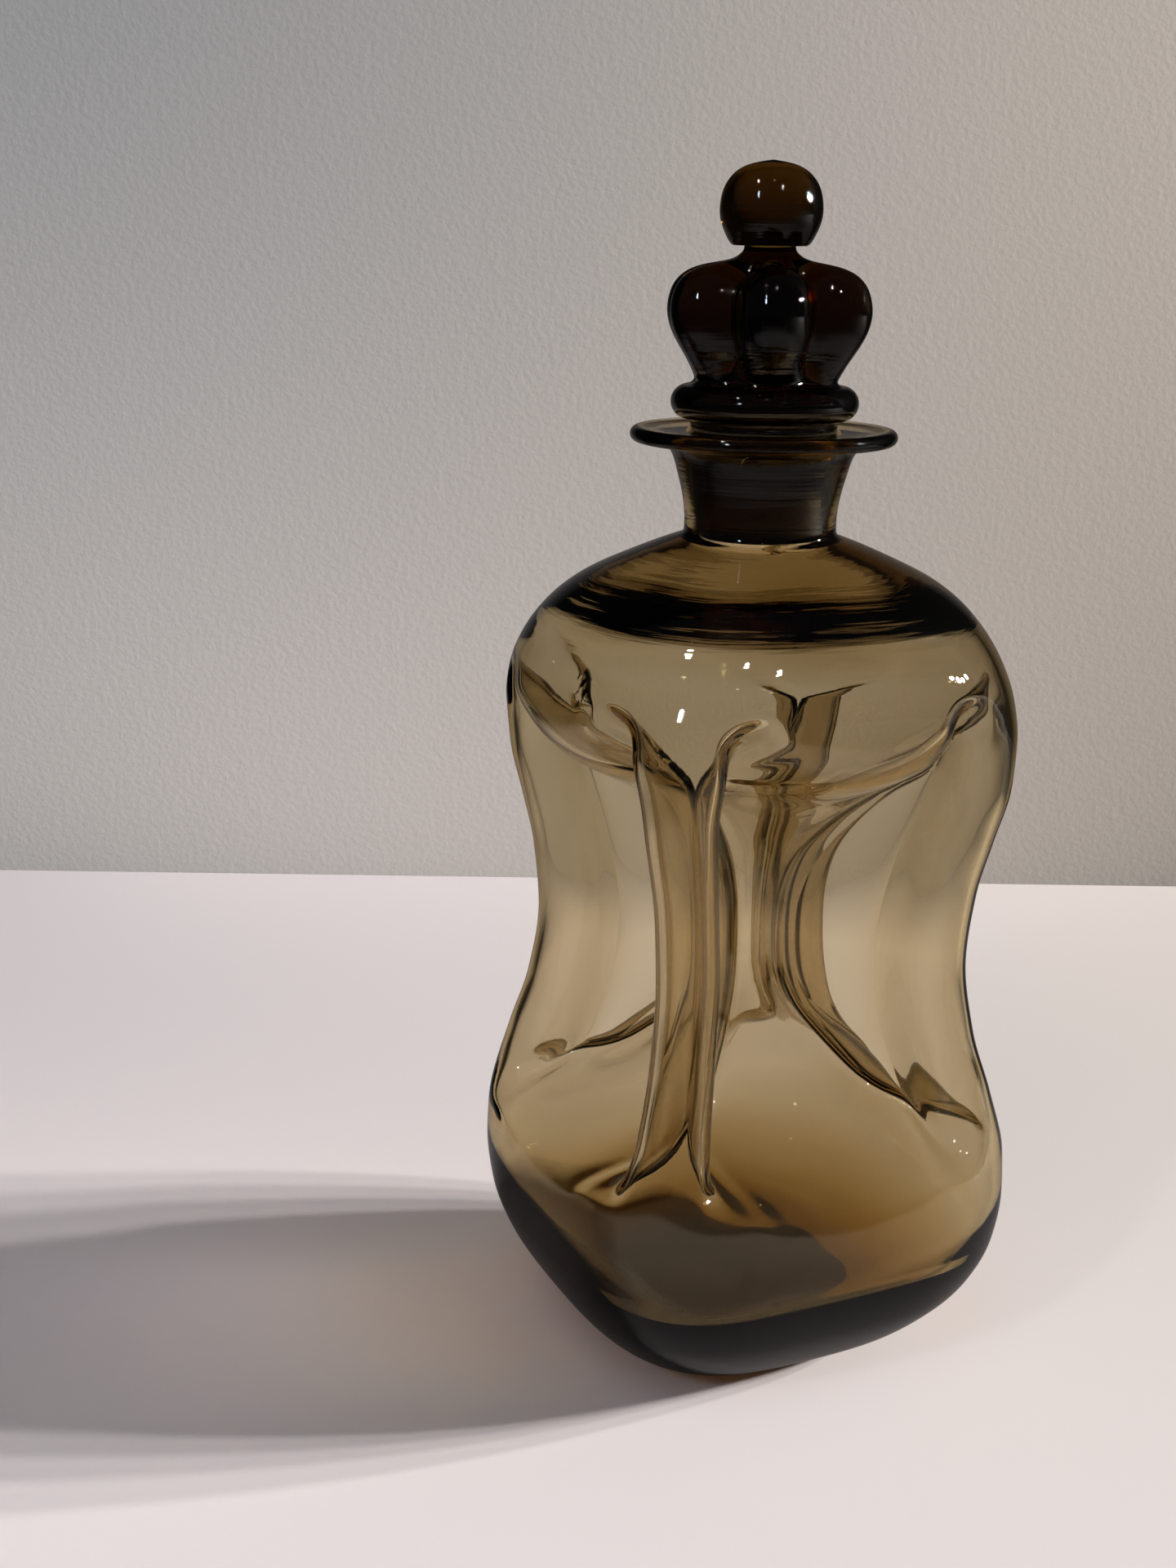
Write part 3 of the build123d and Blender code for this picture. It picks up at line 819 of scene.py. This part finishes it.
def faded(tree, colour, ends):
    """Colour that stays for the camera. For every other ray it is painted darker with distance from the
    object, as shade, and a ray that is only mirrored sees a darker one still, a painted dark reflection."""
    place = node(tree, "ShaderNodeNewGeometry")
    length = node(tree, "ShaderNodeVectorMath", operation="LENGTH")
    tree.links.new(place.outputs["Position"], length.inputs[0])
    spread = ramp(tree, length.outputs["Value"], ends, (1.0, FADED_TO))
    light = node(tree, "ShaderNodeLightPath")
    glint = calculate(tree, "SUBTRACT", light.outputs["Is Glossy Ray"], light.outputs["Is Transmission Ray"])
    seen = calculate(tree, "MULTIPLY", spread, ramp(tree, glint, (0.0, 1.0), (1.0, MIRRORED)))
    scale = node(tree, "ShaderNodeVectorMath", operation="SCALE")
    tree.links.new(colour, scale.inputs[0])
    most = calculate(tree, "MAXIMUM", seen, light.outputs["Is Camera Ray"])
    tree.links.new(most, scale.inputs["Scale"])
    return scale.outputs[0]


def matt(tree, roughness):
    shader = node(tree, "ShaderNodeBsdfPrincipled", Roughness=roughness)
    shader.inputs["Specular IOR Level"].default_value = 0.2
    return shader


def paper():
    mat, tree, out = new_material("paper_floor")
    shader = matt(tree, 0.8)
    # Painted shade: the paper's colour darkens from the front left to the back right
    across = along(tree, RIGHT, -0.25, 0.35)
    front = blend(tree, across, *FLOOR_FRONT_SHADE)
    back = blend(tree, across, *FLOOR_BACK_SHADE)
    colour = blend(tree, along(tree, BACK, -0.25, 0.25), front, back)
    tree.links.new(faded(tree, colour, FLOOR_FADES), shader.inputs["Base Color"])
    tree.links.new(shader.outputs[0], out.inputs["Surface"])
    return mat


def plaster():
    """Wall's material, which is clear from behind."""
    mat, tree, out = new_material("plaster_wall")
    shader = matt(tree, 0.9)
    # Painted light and shade: the wall is darker at the top on the left and lighter at the top on the right
    up = along(tree, (0, 0, 1), 0.0, 0.45)
    left = blend(tree, up, *WALL_LEFT_SHADE)
    right = blend(tree, up, *WALL_RIGHT_SHADE)
    colour = blend(tree, along(tree, RIGHT, -0.3, 0.3), left, right)
    surface = faded(tree, colour, WALL_FADES)
    tree.links.new(surface, shader.inputs["Base Color"])
    # Painted light: the wall glows in its own colour
    tree.links.new(surface, shader.inputs["Emission Color"])
    shader.inputs["Emission Strength"].default_value = WALL_PAINTED_GLOW
    place = node(tree, "ShaderNodeTexCoord").outputs["Object"]
    grain = raised(tree, noise(tree, place, Scale=420.0), 0.00018)
    tree.links.new(grain.outputs[0], shader.inputs["Normal"])
    clear = node(tree, "ShaderNodeBsdfTransparent")
    side = node(tree, "ShaderNodeNewGeometry")
    shown = mixed(tree, side.outputs["Backfacing"], shader.outputs[0], clear.outputs[0])
    tree.links.new(shown, out.inputs["Surface"])
    return mat


FLOOR_DROP = -0.0004
FLOOR_CORNERS = ((-3, -3), (3, -3), (3, 3), (-3, 3))
WALL_BACK = 0.37
WALL_CORNERS = ((-1.5, -0.01), (1.5, -0.01), (1.5, 1.6), (-1.5, 1.6))
plane("floor", [in_view(right, back, FLOOR_DROP) for right, back in FLOOR_CORNERS], paper())
wall = plane("wall", [in_view(right, WALL_BACK, up) for right, up in WALL_CORNERS], plaster())
wall.visible_shadow = False


def area_light(name, where, width, height, power, colour):
    """Rectangular lamp at a place in the view, turned to the middle of the object."""
    data = bpy.data.lights.new(name, "AREA")
    data.shape = "RECTANGLE"
    data.size = width
    data.size_y = height
    data.energy = power
    data.color = colour
    place = in_view(*where)
    obj = bpy.data.objects.new(name, data)
    obj.location = place
    obj.rotation_euler = (MIDDLE - place).to_track_quat("-Z", "Y").to_euler()
    bpy.context.scene.collection.objects.link(obj)
    return obj


MIDDLE = Vector((0, 0, 0.12))
KEY_LAMPS = ((4.0, -0.15, 1.5), (4.0, 0.1, 1.4), (4.0, 0.35, 1.35), (3.95, 0.65, 1.4))
CEILING_LAMPS = ((0.42, -0.9, 1.25), (0.02, -0.9, 1.75), (-0.5, -0.3, 1.3))
for number, where in enumerate(KEY_LAMPS):
    area_light(f"key_{number}", where, 0.12, 0.12, 102.0, (1.0, 0.955, 0.91))
for number, where in enumerate(CEILING_LAMPS):
    lamp = area_light(f"ceiling_{number}", where, 0.06, 0.06, 1.4, (1.0, 0.92, 0.8))
    lamp.visible_diffuse = False
area_light("window", (-0.75, -1.0, 0.9), 0.07, 0.2, 2.2, (0.72, 0.85, 1.0))
fill = area_light("fill", (-0.5, -1.0, 1.4), 1.0, 1.0, 3.6, (0.86, 0.91, 1.0))
fill.visible_glossy = False
fill.visible_transmission = False

# Strength of the room's own light: for reflections, for matt surfaces, and as the camera sees it
ROOM_MIRRORED = 0.03
ROOM_ON_MATT = 0.075
ROOM_SHOWN = 0.45
world = bpy.data.worlds.new("room")
bpy.context.scene.world = world
world.use_nodes = True
room = world.node_tree
backdrop = room.nodes["Background"]
backdrop.inputs[0].default_value = (0.9, 0.93, 1.0, 1)
ray = node(room, "ShaderNodeLightPath")
dim = ramp(room, ray.outputs["Is Diffuse Ray"], (0.0, 1.0), (ROOM_MIRRORED, ROOM_ON_MATT))
shown = ramp(room, ray.outputs["Is Camera Ray"], (0.0, 1.0), (0.0, ROOM_SHOWN))
room.links.new(calculate(room, "MAXIMUM", dim, shown), backdrop.inputs[1])

bpy.context.scene.view_settings.view_transform = "Standard"
